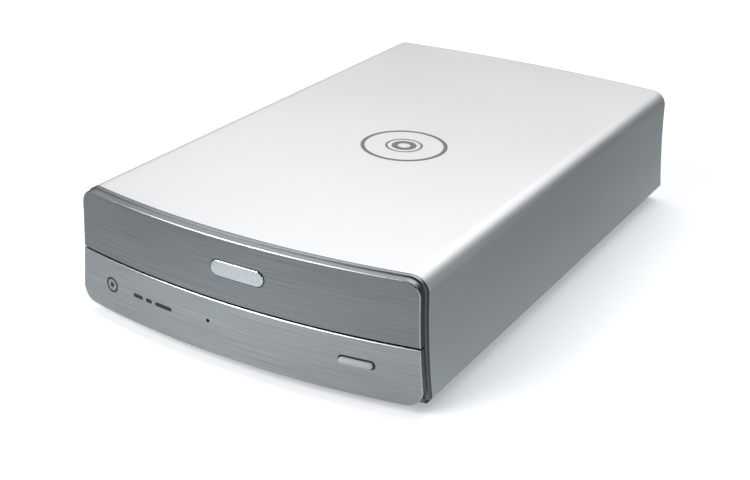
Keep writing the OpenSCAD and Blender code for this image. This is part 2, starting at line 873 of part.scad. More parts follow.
module bridge_board_parts() {
    color("#26282b") {
        block([-30, 88, board_top], [-18, 100, board_top + 1.4]);
        block([2, 86, board_top], [9, 92, board_top + 1.2]);
        block([20, 88, board_top], [30, 98, board_top + 4]);
        for (p = [[34, 104], [12, 102]]) translate([p.x, p.y, board_top])
            cylinder(r = 4, h = 9);
        for (i = [0:5]) block([-38 + i * 3, 106, board_top], [-36.4 + i * 3, 107, board_top + 0.7]);
    }
}

module bridge_board_screws() {
    color("silver") for (s = [-1, 1], y = [66, 120])
        translate([s * 40, y, board_top]) rotate([180, 0, 0]) screw(thin_screw_r, 5);
}

module board_headers() {
    color("#151618") {
        block([-17.5, 66, board_top], [-6.5, 72, board_top + 3.4]);
        block([-1, 66, board_top], [19, 72, board_top + 3.4]);
    }
}

module usb_socket_shell() {
    color("silver") difference() {
        block([usb_x - 6.1, 112, board_top], [usb_x + 6.1, panel_out + 0.3, 23]);
        block([usb_x - 5.3, 114, board_top + 0.8], [usb_x + 5.3, 140, 22.2]);
    }
}

module usb_socket_tongue() {
    color("#1c5fb0") block([usb_x - 2.9, 114, 13.6], [usb_x + 2.9, 126.5, 16.8]);
}

module dc_jack_body() {
    color("#18191b") difference() {
        block([jack_x - 5, 113, board_top], [jack_x + 5, panel_out + 0.3, 21.6]);
        along_y(jack_x, jack_z, 3.1, 118, 140);
    }
}

module dc_jack_pin() {
    color("silver") along_y(jack_x, jack_z, 1.05, 118, 128);
}

module rocker_switch_body() {
    color("#141516") difference() {
        union() {
            block([rocker_x - 6.5, 113, rocker_z - 9.5], [rocker_x + 6.5, panel_out, rocker_z + 9.5]);
            block([rocker_x - 7.5, panel_out, rocker_z - 10.5],
                [rocker_x + 7.5, panel_out + 1.3, rocker_z + 10.5]);
        }
        block([rocker_x - 5.2, 120, rocker_z - 8.7], [rocker_x + 5.2, 140, rocker_z + 8.7]);
        translate([rocker_x - 5.9, rocker_y, rocker_z]) rotate([0, 90, 0])
            cylinder(r = 1.2 + run_gap, h = 11.8);
    }
}

module power_rocker() {
    color("#1b1c1e") translate([rocker_x, rocker_y, rocker_z]) rotate([-rocker_tilt, 0, 0]) {
        rotate([90, 0, 90]) translate([0, 0, -5]) linear_extrude(10)
            polygon([[-2, -2], [1, -7.8], [4.6, -7.8], [3.6, 0], [4.6, 7.8], [1, 7.8], [-2, 2]]);
        translate([-5.8, 0, 0]) rotate([0, 90, 0]) cylinder(r = 1.2, h = 11.6);
    }
}

module sata_plugs() {
    color("#26282b") {
        block([-19.6, 52.2, 12.2], [-4.4, 61, 17.8]);
        block([-3.4, 52.2, 12.2], [19.6, 61, 17.8]);
    }
}

// A flat lead from a plug, back and down into its header
module flat_lead(x0, x1) {
    rotate([90, 0, 90]) translate([0, 0, x0]) linear_extrude(x1 - x0) {
        translate([61, 16.2]) square([5, 1.4]);
        translate([66, 14.4]) difference() {
            circle(r = 3.2);
            circle(r = 1.8);
            translate([-5, -5]) square([5, 10]);
            translate([-5, -5]) square([10, 5]);
        }
        translate([67.8, board_top + 3.4]) square([1.4, 0.4]);
    }
}

module data_cable() {
    color("#b5342b") flat_lead(-16, -8);
}

module power_cable() {
    color("#d9b43a") for (i = [0:4]) flat_lead(1 + i * 3.6, 3.4 + i * 3.6);
}

top_cover();
base_pan();
lower_front_bezel();
lower_front_plate();
tray_slot_frame();
rear_panel();
rubber_feet();
cover_screws();
bezel_screws();
drive_screws();
drive_bottom_cover();
drive_top_cover();
loader_frame();
clamp_bridge();
main_board();
main_board_parts();
drive_socket();
loading_motor();
drive_belt();
front_board();
front_board_screws();
tact_switch();
bridge_board();
bridge_board_parts();
bridge_board_screws();
board_headers();
usb_socket_shell();
usb_socket_tongue();
dc_jack_body();
dc_jack_pin();
rocker_switch_body();
sata_plugs();
data_cable();
power_cable();
disc_tray();
tray_front_panel();
upper_front_plate();
front_badge();
eject_button();
switch_plunger();
motor_shaft();
motor_pulley();
pulley_gear();
tray_pinion();
cam_slider();
traverse_deck();
guide_rods();
spindle_stator();
sled_motor();
spindle_rotor();
turntable();
optical_pickup();
lens_holder();
objective_lens();
lead_screw();
clamp_puck();
clamp_yoke();
power_rocker();
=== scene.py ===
"""Looks of a desktop tray-loading optical drive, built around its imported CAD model."""
import json
import math

import bmesh
import bpy
from mathutils import Matrix, Vector
from mathutils.geometry import tessellate_polygon


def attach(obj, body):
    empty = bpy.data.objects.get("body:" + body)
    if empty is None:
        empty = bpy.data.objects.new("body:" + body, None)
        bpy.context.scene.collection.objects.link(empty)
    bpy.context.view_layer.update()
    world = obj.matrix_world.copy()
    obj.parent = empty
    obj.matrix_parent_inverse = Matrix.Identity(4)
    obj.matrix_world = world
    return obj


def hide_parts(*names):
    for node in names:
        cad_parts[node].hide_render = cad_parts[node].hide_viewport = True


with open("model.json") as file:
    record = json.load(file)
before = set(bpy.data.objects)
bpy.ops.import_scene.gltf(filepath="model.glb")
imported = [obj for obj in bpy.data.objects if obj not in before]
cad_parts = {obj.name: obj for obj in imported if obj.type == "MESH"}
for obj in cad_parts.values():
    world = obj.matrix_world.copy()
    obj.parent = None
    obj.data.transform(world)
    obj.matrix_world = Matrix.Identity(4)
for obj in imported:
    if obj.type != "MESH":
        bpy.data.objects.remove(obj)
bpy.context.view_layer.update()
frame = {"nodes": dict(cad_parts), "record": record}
nodes = frame["nodes"]

MM = 0.001

# --- Sizes of the case in millimetres, as in the CAD model ---
BODY_W = 165.0
TOP_W = 157.5
BODY_L = 273.0
BODY_H = 56.0
WALL = 2.0
EDGE_R = 7.0
FRONT_BOW = 9.8
REAR_BOW = 6.0
FOOT_H = 3.0
COVER_LOW = 6.5
PANEL_LOW = 4.5
SPLIT_Z = 28.8
SPLIT_GAP = 0.8
PANEL_T = 3.5
PLATE_T = 0.8
BADGE_T = 0.5
FACE_GAP = 0.6
PANEL_CORNER_R = 6.5
BUTTON_X = 55.0
BUTTON_L = 13.5
BUTTON_H = 2.4
BUTTON_GAP = 0.5
BUTTON_Z = (FOOT_H + SPLIT_Z) / 2 + 2.2
BADGE_X = 4.7
BADGE_Z = (SPLIT_Z + BODY_H) / 2 + 0.5
BADGE_L = 24.0
BADGE_H = 6.5
PINHOLE_X = -9.5
PINHOLE_Z = (FOOT_H + SPLIT_Z) / 2 + 2.6
PINHOLE_R = 0.8
# X and Y of the cover's screws and of the drive's, on the right
COVER_SCREW = (66, 112)
DRIVE_SCREWS = ((69.85, -69.6), (69.85, 9.65))
# Bosses for the cover's screws, and ribs across the inside of its top
BOSS_LENGTH = 34
BOSS_R = 4.0
BOSS_TIP_R = 3.6
BOSS_Z = 37
RIB_PLACES = (66, 84, 102)
RIB_Z = 52.5
RIB_SIZE = Vector((140, 1.6, 3))

COVER_FRONT = BADGE_T + PANEL_T - BODY_L / 2
COVER_REAR = BODY_L / 2
FRONT_R = ((BODY_W / 2) ** 2 + FRONT_BOW ** 2) / (2 * FRONT_BOW)
REAR_R = ((BODY_W / 2) ** 2 + REAR_BOW ** 2) / (2 * REAR_BOW)
FRONT_CY = COVER_FRONT + FRONT_R
REAR_CY = COVER_REAR - REAR_R
FLARE_Z = BODY_H + 2
FLARE_R = (FLARE_Z - FOOT_H) ** 2 / (BODY_W - TOP_W)
PLATE_BACK = PANEL_T - PLATE_T

# --- Details of the visual model, also in millimetres ---
CHAMFER = 0.25
# Width of the grey band round the front edge of the cover, and of the groove behind it
TRIM_W = 1.5
GROOVE = 0.3
CARRIER_BACK = 0.05
# The opening round the button: how far it is off the button's centre, up and to the right so that
# the black ring behind it shows there as painted shade, and their whole play
OPENING_SHIFT = (0.2, 0.25)
OPENING_PLAY = 3 * BUTTON_GAP
# Depths and play of a black ring behind that opening: painted shade in the gap round the button
SHADE_RING_DEPTHS = (1.4, 0.25)
SHADE_RING_PLAY = 0.16
# Printed marks on the front, and rings on the top as (inner, outer) radii
PRINT_Z = 17.2
PRINT_T = 0.03
SIGN_X = -62
SIGN_R = 3.4
SIGN_HOLE_R = 2.5
SIGN_CENTRE_R = 1.1
BAR_H = 1.7
BARS = (("left", -46.5, 5.5), ("middle", -40.5, 3.5), ("right", -32.5, 9))
# Width of the dark line round the raised badge: painted shade
BADGE_SHADE_W = 0.4
RINGS_X = 6.5
RINGS_Y = -11.5
RINGS = ((2.8, 5.6), (7.4, 8.4), (17.6, 19.4))
RINGS_T = 0.04
# Screw heads and a blank label on the underside
SCREW_HEAD_Z = FOOT_H + 0.38
CROSS_REACH = 1.5
CROSS_WIDTH = 0.35
CROSS_T = 0.08
LABEL_T = 0.1
BAND_T = 0.04
# Width of the columns that a bowed layer is cut into
COLUMN = 2.0

FLAT_UV = "flat"
LIGHT_DISTANCE = 1.5


def side_x(z, inset):
    """Half width of the case at height z, with its skin moved in by inset."""
    return TOP_W / 2 + FLARE_R - math.sqrt((FLARE_R + inset) ** 2 - (FLARE_Z - z) ** 2)


def front_y(x, outward=0.0):
    """Y of the bowed front at x, that far ahead of the cover's front edge."""
    return FRONT_CY - math.sqrt((FRONT_R + outward) ** 2 - x * x)


def rear_y(x):
    """Y of the bowed rear edge at x."""
    return REAR_CY + math.sqrt(REAR_R ** 2 - x * x)


def steps(start, end, count):
    """The ends of count equal steps from start to end, both included."""
    return [start + (end - start) * k / count for k in range(count + 1)]


def arc(cx, cz, r, start, end, count):
    """Points of an arc in X and Z, with its angles in degrees."""
    angles = [math.radians(a) for a in steps(start, end, count)]
    return [(cx + r * math.cos(a), cz + r * math.sin(a)) for a in angles]


def both_sides(right):
    """A right half outline and its mirror image, as one loop."""
    return right + [(-x, z) for x, z in reversed(right)]


def case_outline(inset, low, across=1):
    """The case seen from the front: hollow sides, rounded corners, and a top in across steps."""
    corner_z = BODY_H - EDGE_R
    corner_x = side_x(corner_z, inset) - (EDGE_R - inset)
    side = [(side_x(z, inset), z) for z in steps(low, corner_z, 24)[:-1]]
    right = side + arc(corner_x, corner_z, EDGE_R - inset, 0, 90, 18)
    top = [(x, BODY_H - inset) for x in steps(corner_x, -corner_x, across)[1:-1]]
    return right + top + [(-x, z) for x, z in reversed(right)]


def upper_outline(inset):
    return case_outline(FACE_GAP + inset, SPLIT_Z + SPLIT_GAP / 2 + inset)


def lower_outline(inset):
    corner_z = PANEL_LOW + PANEL_CORNER_R
    corner_x = side_x(corner_z, FACE_GAP) - PANEL_CORNER_R
    corner = arc(corner_x, corner_z, PANEL_CORNER_R - inset, -90, 0, 16)
    top = SPLIT_Z - SPLIT_GAP / 2 - inset
    side = [(side_x(z, FACE_GAP + inset), z) for z in steps(corner_z, top, 12)[1:]]
    return both_sides(corner + side)


def pill(cx, cz, length, height):
    """An outline function of a bar with round ends."""
    def outline(inset):
        r = height / 2 - inset
        half = (length - height) / 2
        return arc(cx + half, cz, r, -90, 90, 16) + arc(cx - half, cz, r, 90, 270, 16)
    return outline


def disc(cx, cz, radius, count=48):
    """An outline function of a circle."""
    return lambda inset: arc(cx, cz, radius - inset, 0, 360, count)[:-1]


def rounded_edge(inner, outer, radius, count=4):
    """Profile of a layer from its back to a rounded front edge, as (inset, outward)."""
    turn = [math.radians(a) for a in steps(0, 90, count)]
    return [(0, inner)] + [(radius * (1 - math.cos(a)), outer - radius * (1 - math.sin(a)))
                           for a in turn]


def chamfered(inner, outer, size):
    """Profile of a layer with its front edge cut off at 45 degrees."""
    return [(0, inner), (0, outer - size), (size, outer)]


def widened(inner, outer, size):
    """Profile of a hole that opens out at the front."""
    return [(0, inner), (0, outer - size), (-size, outer)]


# --- Meshes ---
def link(name, mesh, materials, body, replaces=()):
    """Makes an object that rides on a body and stands for the CAD nodes."""
    obj = bpy.data.objects.new(name, mesh)
    bpy.context.scene.collection.objects.link(obj)
    for material in materials:
        mesh.materials.append(material)
    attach(obj, body)
    if replaces:
        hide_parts(*replaces)
    return obj


def finish_mesh(bm, name, sharp=30):
    """A mesh from bm, smooth but for edges sharper than that many degrees."""
    bmesh.ops.recalc_face_normals(bm, faces=bm.faces)
    for face in bm.faces:
        face.smooth = True
    mesh = bpy.data.meshes.new(name)
    bm.to_mesh(mesh)
    bm.free()
    mesh.set_sharp_from_angle(angle=math.radians(sharp))
    return mesh


def add_rings(bm, rings, material=0, closed=True):
    """Quads between each ring of vertices and the next."""
    for a, b in zip(rings, rings[1:]):
        count = len(a)
        for k in range(count if closed else count - 1):
            n = (k + 1) % count
            bm.faces.new((a[k], a[n], b[n], b[k])).material_index = material


def add_cap(bm, loops, material=0):
    """Fills the first loop of vertices, leaving the others as holes."""
    verts = [v for loop in loops for v in loop]
    for triangle in tessellate_polygon([[v.co for v in loop] for loop in loops]):
        bm.faces.new([verts[i] for i in triangle]).material_index = material


def bent_mesh(name, outline, profile, holes=(), edge_material=0, wall_material=0):
    """A layer on the bowed front: an outline function and its (inset, outward) profile.

    Each hole is an outline function and a profile too. The layer is drawn flat, cut into
    narrow columns, and then bent round the front's curve. The first step of a profile is
    the layer's wall, and the others are its edge.
    """
    bm = bmesh.new()
    families = []
    for shape, shape_profile in [(outline, profile), *holes]:
        rings = [[bm.verts.new((x, out, z)) for x, z in shape(inset)]
                 for inset, out in shape_profile]
        add_rings(bm, rings[:2], wall_material)
        add_rings(bm, rings[1:], edge_material)
        families.append(rings)
    add_cap(bm, [rings[0] for rings in families], wall_material)
    add_cap(bm, [rings[-1] for rings in families])
    low = min(v.co.x for v in bm.verts)
    high = max(v.co.x for v in bm.verts)
    x = low + COLUMN
    while x < high:
        geometry = bm.verts[:] + bm.edges[:] + bm.faces[:]
        bmesh.ops.bisect_plane(bm, geom=geometry, plane_co=(x, 0, 0), plane_no=(1, 0, 0))
        x += COLUMN
    flat = bm.loops.layers.uv.new(FLAT_UV)
    for face in bm.faces:
        for loop in face.loops:
            loop[flat].uv = (loop.vert.co.x / BODY_W, loop.vert.co.z / BODY_W)
    for v in bm.verts:
        v.co = Vector((v.co.x, front_y(v.co.x, v.co.y), v.co.z)) * MM
    return finish_mesh(bm, name)


def cover_mesh():
    """The sleeve: its outline swept from the bowed front edge to the bowed rear edge.

    Material 0 is its paint, 1 the band round its front edge, and 2 the groove behind that,
    painted near black as shade.
    """
    outer_r = 0.06
    inner_r = 0.3
    outer_turn = [math.radians(a) for a in steps(0, 90, 4)]
    lip = [(outer_r * (1 - math.cos(a)), outer_r * (1 - math.sin(a))) for a in outer_turn]
    lip += [(WALL - inner_r * (1 - math.sin(a)), inner_r * (1 - math.cos(a)))
            for a in outer_turn]
    edge = [(WALL, 1, TRIM_W)] + [(depth, 1, back) for depth, back in reversed(lip)]
    edge += [(0, 1, TRIM_W), (GROOVE, 1, TRIM_W), (GROOVE, 1, TRIM_W + GROOVE),
             (0, 1, TRIM_W + GROOVE)]
    edge += [(depth, -1, back) for depth, back in lip]
    groove = len(lip) + 1
    bm = bmesh.new()
    rings = []
    for depth, end, back in edge:
        ring = []
        for x, z in case_outline(depth, COVER_LOW, 60):
            y = front_y(x) + back if end > 0 else rear_y(x) - back
            ring.append(bm.verts.new(Vector((x, y, z)) * MM))
        rings.append(ring)
    add_rings(bm, rings[:groove + 1], 1, closed=False)
    add_rings(bm, rings[groove:groove + 4], 2, closed=False)
    add_rings(bm, rings[groove + 3:] + rings[:1], 0, closed=False)
    for side in (0, -1):
        bm.faces.new([ring[side] for ring in rings])
    screw_x, screw_y = COVER_SCREW
    for side in (1, -1):
        place = Matrix.Translation(Vector((side * screw_x, screw_y, BOSS_Z)) * MM)
        bmesh.ops.create_cone(bm, cap_ends=True, segments=32, radius1=BOSS_R * MM,
                              radius2=BOSS_TIP_R * MM, depth=BOSS_LENGTH * MM,
                              matrix=place @ Matrix.Rotation(math.pi, 4, "X"))
    for y in RIB_PLACES:
        bmesh.ops.create_cube(bm, size=1, matrix=Matrix.LocRotScale(
            Vector((0, y, RIB_Z)) * MM, None, RIB_SIZE * MM))
    return finish_mesh(bm, "cover_shell", 50)


def ring_mesh(name, cx, cy, z, radii, thickness):
    """Flat concentric rings printed on a level face, as (inner, outer) radii."""
    bm = bmesh.new()
    for inner, outer in radii:
        loops = []
        for radius, height in ((inner, z), (inner, z + thickness),
                               (outer, z + thickness), (outer, z)):
            loops.append([bm.verts.new(Vector((x, y, height)) * MM)
                          for x, y in arc(cx, cy, radius, 0, 360, 72)[:-1]])
        add_rings(bm, loops + loops[:1])
    return finish_mesh(bm, name)


# --- Materials ---
def shader(name, color, roughness, metallic=0.0, **inputs):
    """A new material and its tree and shader."""
    material = bpy.data.materials.new(name)
    material.use_nodes = True
    bsdf = material.node_tree.nodes["Principled BSDF"]
    bsdf.inputs["Base Color"].default_value = (*color, 1)
    bsdf.inputs["Roughness"].default_value = roughness
    bsdf.inputs["Metallic"].default_value = metallic
    for key, value in inputs.items():
        bsdf.inputs[key.replace("_", " ").title().replace("Ior", "IOR")].default_value = value
    return material, material.node_tree, bsdf


def noise(tree, scale, stretch=(1, 1, 1), detail=3.0):
    """Noise in object coordinates: scale is features per metre, stretch multiplies each axis."""
    coords = tree.nodes.new("ShaderNodeTexCoord")
    mapping = tree.nodes.new("ShaderNodeMapping")
    mapping.inputs["Scale"].default_value = stretch
    texture = tree.nodes.new("ShaderNodeTexNoise")
    texture.inputs["Scale"].default_value = scale
    texture.inputs["Detail"].default_value = detail
    tree.links.new(coords.outputs["Object"], mapping.inputs["Vector"])
    tree.links.new(mapping.outputs["Vector"], texture.inputs["Vector"])
    return texture.outputs["Fac"]


def ramp(tree, value, low, high, start=0.3, end=0.7):
    """Maps value onto a colour or grey from low to high."""
    node = tree.nodes.new("ShaderNodeValToRGB")
    for stop, position, color in zip(node.color_ramp.elements, (start, end), (low, high)):
        stop.position = position
        stop.color = (*color, 1) if hasattr(color, "__len__") else (color, color, color, 1)
    tree.links.new(value, node.inputs["Fac"])
    return node.outputs["Color"]


def bump(tree, bsdf, value, distance, soft=0.0):
    """Relief from value, on edges that look rounded to a radius of soft millimetres."""
    node = tree.nodes.new("ShaderNodeBump")
    node.inputs["Distance"].default_value = distance
    if soft:
        rounded = tree.nodes.new("ShaderNodeBevel")
        rounded.samples = 4
        rounded.inputs["Radius"].default_value = soft * MM
        tree.links.new(rounded.outputs["Normal"], node.inputs["Normal"])
    tree.links.new(value, node.inputs["Height"])
    tree.links.new(node.outputs["Normal"], bsdf.inputs["Normal"])


def tinted(color, share):
    """A colour made darker or lighter."""
    return tuple(min(1.0, c * share) for c in color)


def plastic(name, color, roughness=0.45, grain=2500, depth=0.00002, variation=0.12, soft=0.2):
    """Moulded plastic with a fine sparked texture."""
    material, tree, bsdf = shader(name, color, roughness)
    fine = noise(tree, grain)
    broad = noise(tree, 40)
    tree.links.new(ramp(tree, broad, tinted(color, 1 - variation), tinted(color, 1 + variation)),
                   bsdf.inputs["Base Color"])
    tree.links.new(ramp(tree, fine, roughness - 0.08, roughness + 0.08),
                   bsdf.inputs["Roughness"])
    bump(tree, bsdf, fine, depth, soft)
    return material


def metal(name, color, roughness=0.3, stretch=(1, 1, 1), grain=900, depth=0.000005,
          variation=0.08, soft=0.15):
    """Metal with rolled or brushed streaks along the axis with the small stretch."""
    material, tree, bsdf = shader(name, color, roughness, 1.0)
    fine = noise(tree, grain, stretch, 4)
    tree.links.new(ramp(tree, fine, tinted(color, 1 - variation), tinted(color, 1 + variation)),
                   bsdf.inputs["Base Color"])
    tree.links.new(ramp(tree, fine, roughness - 0.06, roughness + 0.06),
                   bsdf.inputs["Roughness"])
    bump(tree, bsdf, fine, depth, soft)
    return material


SILVER = (0.775, 0.79, 0.795)
# The lower face is the same aluminium as the upper, painted lighter for the brighter reflection
# it catches
UPPER_ALUMINIUM = (0.415, 0.42, 0.422)
LOWER_ALUMINIUM_PAINTED_LIGHT = (0.61, 0.615, 0.617)
GREY_METAL = (0.245, 0.26, 0.272)
# Stretch of a grain that runs level
LEVEL = (0.02, 0.02, 1)


def silver_paint():
    """Silver paint with fine flakes under a thin clear coat."""
    material, tree, bsdf = shader("silver_paint", SILVER, 0.5, 0.85)
    flakes = noise(tree, 6000, detail=2)
    haze = noise(tree, 14)
    tree.links.new(ramp(tree, flakes, tinted(SILVER, 0.96), tinted(SILVER, 1.04)),
                   bsdf.inputs["Base Color"])
    tree.links.new(ramp(tree, haze, 0.48, 0.52), bsdf.inputs["Roughness"])
    bump(tree, bsdf, flakes, 0.000004)
    return material


def brushed_face(name, color):
    """Aluminium brushed along X, in finer and broader streaks."""
    material, tree, bsdf = shader(name, color, 0.38, 1.0, Anisotropic=0.7)
    tangent = tree.nodes.new("ShaderNodeTangent")
    tangent.direction_type = "UV_MAP"
    tangent.uv_map = FLAT_UV
    tree.links.new(tangent.outputs["Tangent"], bsdf.inputs["Tangent"])
    fine = noise(tree, 6000, (0.005, 0.005, 1), 3)
    broad = noise(tree, 2400, (0.01, 0.01, 1), 2)
    mix = tree.nodes.new("ShaderNodeMix")
    mix.inputs[0].default_value = 0.45
    tree.links.new(fine, mix.inputs[2])
    tree.links.new(broad, mix.inputs[3])
    streaks = mix.outputs[0]
    tree.links.new(ramp(tree, streaks, tinted(color, 0.78), tinted(color, 1.18), 0.36, 0.64),
                   bsdf.inputs["Base Color"])
    tree.links.new(ramp(tree, streaks, 0.34, 0.46, 0.36, 0.64), bsdf.inputs["Roughness"])
    bump(tree, bsdf, streaks, 0.000012)
    return material


looks = {
    "silver_paint": silver_paint(),
    "brushed_face": brushed_face("brushed_face", UPPER_ALUMINIUM),
    # The upper face's aluminium, painted lighter: a painted reflection
    "lower_brushed_face_painted_light": brushed_face("lower_brushed_face_painted_light", LOWER_ALUMINIUM_PAINTED_LIGHT),
    "bright_edge": metal("bright_edge", (0.86, 0.87, 0.88), 0.3, LEVEL, soft=0),
    "grey_edge": metal("grey_edge", GREY_METAL, 0.36, LEVEL, 2500, soft=0),
    # Near black: painted shade in the cover's groove and in the joint between the faces
    "painted_shade_edge": metal("painted_shade_edge", (0.05, 0.051, 0.053), 0.35, LEVEL, soft=0),
    "front_carrier": metal("front_carrier", GREY_METAL, 0.36, LEVEL, 2500, soft=0),
    "polished_trim": metal("polished_trim", (0.85, 0.86, 0.87), 0.12),
    "button_silver": plastic("button_silver", (0.52, 0.53, 0.54), 0.35, 5000, 0.000002, 0.03),
    "dark_plastic": plastic("dark_plastic", (0.022, 0.023, 0.025), 0.5),
    "frame_plastic": plastic("frame_plastic", (0.045, 0.047, 0.052), 0.5, 1800),
    "gear_plastic": plastic("gear_plastic", (0.70, 0.68, 0.62), 0.4, 3000, 0.00001, 0.05),
    "rubber_black": plastic("rubber_black", (0.02, 0.02, 0.021), 0.75, 1500, 0.00004),
    "screw_steel": metal("screw_steel", (0.55, 0.56, 0.58), 0.28),
    "sheet_steel": metal("sheet_steel", (0.62, 0.63, 0.64), 0.34, (1, 0.05, 1)),
    "board_green": plastic("board_green", (0.02, 0.13, 0.06), 0.3, 900, 0.00002, 0.3),
    "chip_black": plastic("chip_black", (0.018, 0.018, 0.02), 0.4, 3500),
    "cable_red": plastic("cable_red", (0.42, 0.03, 0.025), 0.35, 2500, 0.00001),
    "cable_yellow": plastic("cable_yellow", (0.60, 0.40, 0.03), 0.35, 2500, 0.00001),
    "usb_blue": plastic("usb_blue", (0.015, 0.10, 0.38), 0.3, 3000, 0.000005),
    "copper_coil": metal("copper_coil", (0.62, 0.30, 0.12), 0.3, (1, 1, 0.1), 2500),
    "print_grey": plastic("print_grey", (0.16, 0.165, 0.17), 0.5, 4000, 0.000002, 0.05),
    "label_white": plastic("label_white", (0.72, 0.72, 0.70), 0.5, 3000, 0.000002, 0.02),
    # Near black for print, and for painted shade round the badge and in the screws' recesses
    "print_and_painted_shade_dark": plastic("print_and_painted_shade_dark", (0.02, 0.021, 0.023), 0.4, 4000, 0.000002, 0.05),
    "lens_glass": shader("lens_glass", (0.75, 0.85, 0.95), 0.04, Transmission_Weight=0.6,
                         Coat_Weight=1.0)[0],
}


# --- CAD nodes that keep their shape: rounded arrises, smooth curves and their own finish ---
def smoothing_group():
    """Joins the triangles' corners and smooths all but the sharp edges."""
    group = bpy.data.node_groups.new("smooth_curves", "GeometryNodeTree")
    group.interface.new_socket("Mesh", in_out="INPUT", socket_type="NodeSocketGeometry")
    group.interface.new_socket("Mesh", in_out="OUTPUT", socket_type="NodeSocketGeometry")
    add = group.nodes.new
    start, end = add("NodeGroupInput"), add("NodeGroupOutput")
    merge = add("GeometryNodeMergeByDistance")
    merge.inputs["Distance"].default_value = 1e-6
    faces, edges = add("GeometryNodeSetShadeSmooth"), add("GeometryNodeSetShadeSmooth")
    edges.domain = "EDGE"
    edges.inputs["Shade Smooth"].default_value = False
    angle, compare = add("GeometryNodeInputMeshEdgeAngle"), add("FunctionNodeCompare")
    compare.operation = "GREATER_THAN"
    compare.inputs[1].default_value = math.radians(32)
    wire = group.links.new
    wire(start.outputs[0], merge.inputs["Geometry"])
    wire(merge.outputs["Geometry"], faces.inputs["Geometry"])
    wire(faces.outputs["Geometry"], edges.inputs["Geometry"])
    wire(angle.outputs["Unsigned Angle"], compare.inputs[0])
    wire(compare.outputs["Result"], edges.inputs["Selection"])
    wire(edges.outputs["Geometry"], end.inputs[0])
    return group


smooth_curves = smoothing_group()


def dress(node, look, arris=0.0):
    """Gives a CAD node its finish, and rounds its edges by arris millimetres."""
    obj = nodes[node]
    obj.data.materials.clear()
    obj.data.materials.append(looks[look])
    if arris:
        weld = obj.modifiers.new("weld", "WELD")
        weld.merge_threshold = 1e-6
        bevel = obj.modifiers.new("arris", "BEVEL")
        bevel.width = arris * MM
        bevel.segments = 2
        bevel.limit_method = "ANGLE"
        bevel.angle_limit = math.radians(40)
    smooth = obj.modifiers.new("smooth", "NODES")
    smooth.node_group = smooth_curves


# Radii of the arrises that show
arrises = {"eject_button": 0.35, "rubber_feet": 0.5, "clamp_puck": 0.3, "disc_tray": 0.25,
           "power_rocker": 0.3, "rocker_switch_body": 0.3, "dc_jack_body": 0.25,
           "rear_panel": 0.2, "base_pan": 0.3}
for part in frame["record"]["subparts"]:
    dress(part["node"], part["material_slot"], arrises.get(part["node"], 0.0))

# --- Case ---
link("cover_shell", cover_mesh(),
     [looks["silver_paint"], looks["front_carrier"], looks["painted_shade_edge"]], "housing",
     ["top_cover"])

button_hole = pill(BUTTON_X + OPENING_SHIFT[0], BUTTON_Z + OPENING_SHIFT[1],
                   BUTTON_L + OPENING_PLAY, BUTTON_H + OPENING_PLAY)
pin_hole = disc(PINHOLE_X, PINHOLE_Z, PINHOLE_R, 24)
edged = chamfered(PLATE_BACK, PANEL_T, CHAMFER)
link("upper_face", bent_mesh("upper_face", upper_outline, edged, (), 1, 2),
     [looks["brushed_face"], looks["bright_edge"], looks["grey_edge"]], "disc_tray",
     ["upper_front_plate"])
lower_face = bent_mesh("lower_face", lower_outline, edged,
                       [(button_hole, widened(PLATE_BACK, PANEL_T, 0.05)),
                        (pin_hole, widened(PLATE_BACK, PANEL_T, 0.02))], 1, 2)
# The wall inside the joint between the faces is in deep shade, so it gets painted shade
for face in lower_face.polygons:
    if face.material_index == 2 and face.normal.z > 0.9:
        face.material_index = 3
link("lower_face", lower_face, [looks["lower_brushed_face_painted_light"], looks["bright_edge"],
                                looks["grey_edge"], looks["painted_shade_edge"]],
     "housing", ["lower_front_plate"])
link("upper_carrier",
     bent_mesh("upper_carrier", upper_outline, [(0, CARRIER_BACK), (0, PLATE_BACK)]),
     [looks["front_carrier"]], "disc_tray", ["tray_front_panel"])
# A black ring behind the opening round the button, in the feet's black rubber: painted shade seen
# in the gap at its top and right
shade_ring = [(0, PANEL_T - depth) for depth in SHADE_RING_DEPTHS]
shade_ring_hole = pill(BUTTON_X, BUTTON_Z, BUTTON_L + SHADE_RING_PLAY, BUTTON_H + SHADE_RING_PLAY)
link("button_painted_shade_ring", bent_mesh("button_painted_shade_ring", button_hole, shade_ring, [(shade_ring_hole, shade_ring)]),
     [looks["rubber_black"]], "housing")

# --- Badge and printed marks ---
mark = [(0, PANEL_T), (0, PANEL_T + PRINT_T)]
badge = pill(BADGE_X, BADGE_Z, BADGE_L, BADGE_H)
# A dark line round the raised badge, painted shade
badge_shade = pill(BADGE_X, BADGE_Z, BADGE_L + 2 * BADGE_SHADE_W, BADGE_H + 2 * BADGE_SHADE_W)
link("badge_bar", bent_mesh("badge_bar", badge, rounded_edge(PANEL_T, PANEL_T + BADGE_T, 0.3)),
     [looks["polished_trim"]], "disc_tray", ["front_badge"])
link("badge_painted_shade", bent_mesh("badge_painted_shade", badge_shade, mark),
     [looks["print_and_painted_shade_dark"]], "disc_tray")
link("top_rings", ring_mesh("top_rings", RINGS_X, RINGS_Y, BODY_H, RINGS, RINGS_T),
     [looks["print_grey"]], "housing")
sign = bent_mesh("disc_sign", disc(SIGN_X, PRINT_Z, SIGN_R), mark,
                 [(disc(SIGN_X, PRINT_Z, SIGN_HOLE_R), mark)])
link("disc_sign", sign, [looks["print_and_painted_shade_dark"]], "housing")
link("disc_sign_centre",
     bent_mesh("disc_sign_centre", disc(SIGN_X, PRINT_Z, SIGN_CENTRE_R), mark),
     [looks["print_and_painted_shade_dark"]], "housing")
for name, x, length in BARS:
    link(f"print_bar_{name}",
         bent_mesh(f"print_bar_{name}", pill(x, PRINT_Z, length, BAR_H), mark),
         [looks["print_and_painted_shade_dark"]], "housing")


